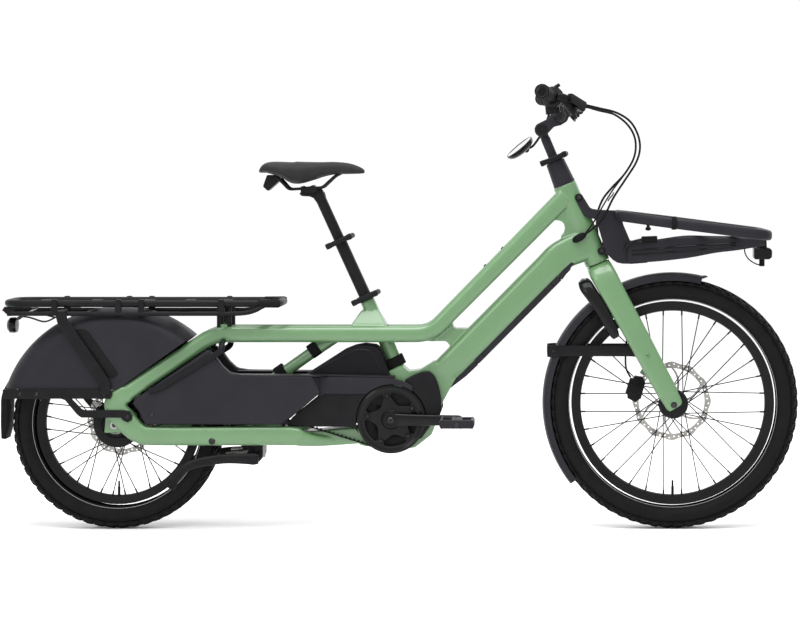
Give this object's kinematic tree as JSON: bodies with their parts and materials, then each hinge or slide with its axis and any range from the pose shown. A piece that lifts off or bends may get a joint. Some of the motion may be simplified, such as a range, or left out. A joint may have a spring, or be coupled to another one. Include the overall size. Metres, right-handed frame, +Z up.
{
  "type": "cargo bicycle",
  "caption": "electric longtail cargo bicycle with a step-through frame, front platform rack, long rear rack, covered rear wheel, belt drive and centre stand",
  "frame": {"origin": "centre of the footprint, on the ground under the tyres", "axes": "+X to the front of the bicycle, +Y to the rider's left, +Z up; the belt side is at -Y"},
  "size_m": [2.027, 0.6648, 1.1197],
  "materials": {
    "green": "gloss sage green paint",
    "black_metal": "satin black paint",
    "black_plastic": "satin charcoal",
    "rubber": "matte black",
    "tyre": "matte black with a pale reflective line",
    "steel": "bright",
    "saddle": "matte black cover",
    "bag": "black woven",
    "lens": "red lens"
  },
  "bodies": {
    "frame": {"head_tube": "green", "down_tube": "green", "right_side_tube": "green", "left_side_tube": "green", "seat_tube": "green", "motor_bracket": "green", "motor_unit": "black_metal", "right_chainstay": "green", "left_chainstay": "green", "centre_strut": "green", "right_skirt": "black_plastic", "left_skirt": "black_plastic", "rear_wheel_cover": "black_plastic", "right_rack_strut": "black_metal", "left_rack_strut": "black_metal", "rear_rack": "black_metal", "rear_light": "lens", "storage_bag": "bag", "front_rack": "black_metal", "front_light": "black_plastic", "rear_axle": "steel", "drive_belt": "rubber"},
    "battery": {"battery": "black_plastic"},
    "steering": {"fork": "green", "front_mudguard": "black_plastic", "stem_riser": "black_metal", "front_axle": "steel"},
    "stem_slide": {"stem_post": "black_metal"},
    "cockpit": {"stem_arm": "black_metal", "handlebar": "black_metal", "right_grip": "rubber", "left_grip": "rubber", "right_brake_body": "black_metal", "left_brake_body": "black_metal", "rear_brake_hose": "rubber", "front_brake_hose": "rubber"},
    "right_brake_lever": {"right_brake_lever": "black_metal"},
    "left_brake_lever": {"left_brake_lever": "black_metal"},
    "mirror": {"mirror": "black_plastic"},
    "stem_clamp_lever": {"stem_clamp_lever": "black_metal"},
    "front_wheel": {"front_tyre": "tyre", "front_rim": "black_metal", "front_hub": "black_metal", "front_rotor": "steel"},
    "rear_wheel": {"rear_tyre": "tyre", "rear_rim": "black_metal", "rear_hub": "black_metal", "rear_rotor": "steel"},
    "rear_sprocket": {"rear_sprocket": "steel"},
    "belt_idler": {"belt_idler": "black_plastic"},
    "crank": {"right_crank": "black_metal", "left_crank": "black_metal"},
    "right_pedal": {"right_pedal": "black_plastic"},
    "left_pedal": {"left_pedal": "black_plastic"},
    "lower_post": {"lower_seat_post": "black_metal"},
    "upper_post": {"upper_seat_post": "black_metal", "saddle": "saddle"},
    "seat_clamp_lever": {"seat_clamp_lever": "black_metal"},
    "post_clamp_lever": {"post_clamp_lever": "black_metal"},
    "centre_stand": {"centre_stand": "black_metal"}
  },
  "joints": [
    {"name": "steering_turn", "type": "hinge", "parent": "frame", "child": "steering", "pos_m": [0.5044, 0, 0.6736], "axis": [-0.3875, 0, 0.9219], "range_deg": [-50, 50], "deforming": ["rear_brake_hose", "front_brake_hose"]},
    {"name": "front_wheel_spin", "type": "hinge", "parent": "steering", "child": "front_wheel", "pos_m": [0.695, 0, 0.3185], "axis": [0, 1, 0], "continuous": true},
    {"name": "stem_height", "type": "slide", "parent": "steering", "child": "stem_slide", "axis": [-0.3875, 0, 0.9219], "range_m": [-0.045, 0.06]},
    {"name": "stem_angle", "type": "hinge", "parent": "stem_slide", "child": "cockpit", "pos_m": [0.36125, 0, 1.01414], "axis": [0, 1, 0], "range_deg": [-15, 20]},
    {"name": "right_brake_pull", "type": "hinge", "parent": "cockpit", "child": "right_brake_lever", "pos_m": [0.442, -0.165, 1.066], "axis": [0, 0, -1], "range_deg": [0, 18], "stiffness_Nm_per_rad": 1, "springref_deg": -17.19},
    {"name": "left_brake_pull", "type": "hinge", "parent": "cockpit", "child": "left_brake_lever", "pos_m": [0.442, 0.165, 1.066], "axis": [0, 0, 1], "range_deg": [0, 18], "stiffness_Nm_per_rad": 1, "springref_deg": -17.19},
    {"name": "mirror_turn", "type": "hinge", "parent": "cockpit", "child": "mirror", "pos_m": [0.3858, 0.179, 1.0939], "axis": [-0.285, 0.9501, 0.1267], "range_deg": [-20, 20]},
    {"name": "stem_clamp_swing", "type": "hinge", "parent": "steering", "child": "stem_clamp_lever", "pos_m": [0.41618, -0.0275, 0.95056], "axis": [-0.3875, 0, 0.9219], "range_deg": [0, 150]},
    {"name": "battery_slide", "type": "slide", "parent": "frame", "child": "battery", "axis": [0.7109, 0, -0.7033], "range_m": [0, 0.065]},
    {"name": "rear_wheel_spin", "type": "hinge", "parent": "frame", "child": "rear_wheel", "pos_m": [-0.7165, 0, 0.268], "axis": [0, 1, 0], "continuous": true},
    {"name": "crank_spin", "type": "hinge", "parent": "frame", "child": "crank", "pos_m": [-0.0195, 0, 0.281], "axis": [0, 1, 0], "continuous": true},
    {"name": "sprocket_spin", "type": "hinge", "parent": "frame", "child": "rear_sprocket", "pos_m": [-0.7165, 0, 0.268], "axis": [0, 1, 0], "continuous": true},
    {"name": "idler_spin", "type": "hinge", "parent": "frame", "child": "belt_idler", "pos_m": [-0.2834, -0.047, 0.2645], "axis": [0, 1, 0], "continuous": true},
    {"name": "right_pedal_spin", "type": "hinge", "parent": "crank", "child": "right_pedal", "pos_m": [0.1505, 0, 0.281], "axis": [0, 1, 0], "continuous": true},
    {"name": "left_pedal_spin", "type": "hinge", "parent": "crank", "child": "left_pedal", "pos_m": [-0.1895, 0, 0.281], "axis": [0, 1, 0], "continuous": true},
    {"name": "lower_post_height", "type": "slide", "parent": "frame", "child": "lower_post", "axis": [-0.4163, 0, 0.9092], "range_m": [-0.055, 0.045]},
    {"name": "upper_post_height", "type": "slide", "parent": "lower_post", "child": "upper_post", "axis": [-0.4163, 0, 0.9092], "range_m": [-0.095, 0.07]},
    {"name": "seat_clamp_swing", "type": "hinge", "parent": "frame", "child": "seat_clamp_lever", "pos_m": [-0.06345, -0.0275, 0.59758], "axis": [-0.4163, 0, 0.9092], "range_deg": [0, 150]},
    {"name": "post_clamp_swing", "type": "hinge", "parent": "lower_post", "child": "post_clamp_lever", "pos_m": [-0.12923, -0.0275, 0.74124], "axis": [-0.4163, 0, 0.9092], "range_deg": [0, 150]},
    {"name": "stand_fold", "type": "hinge", "parent": "frame", "child": "centre_stand", "pos_m": [-0.365, 0, 0.184], "axis": [0, -1, 0], "range_deg": [0, 100]}
  ],
  "couplings": [
    {"joint": "sprocket_spin", "follows": "crank_spin", "ratio": 2.3},
    {"joint": "idler_spin", "follows": "crank_spin", "ratio": -6}
  ]
}
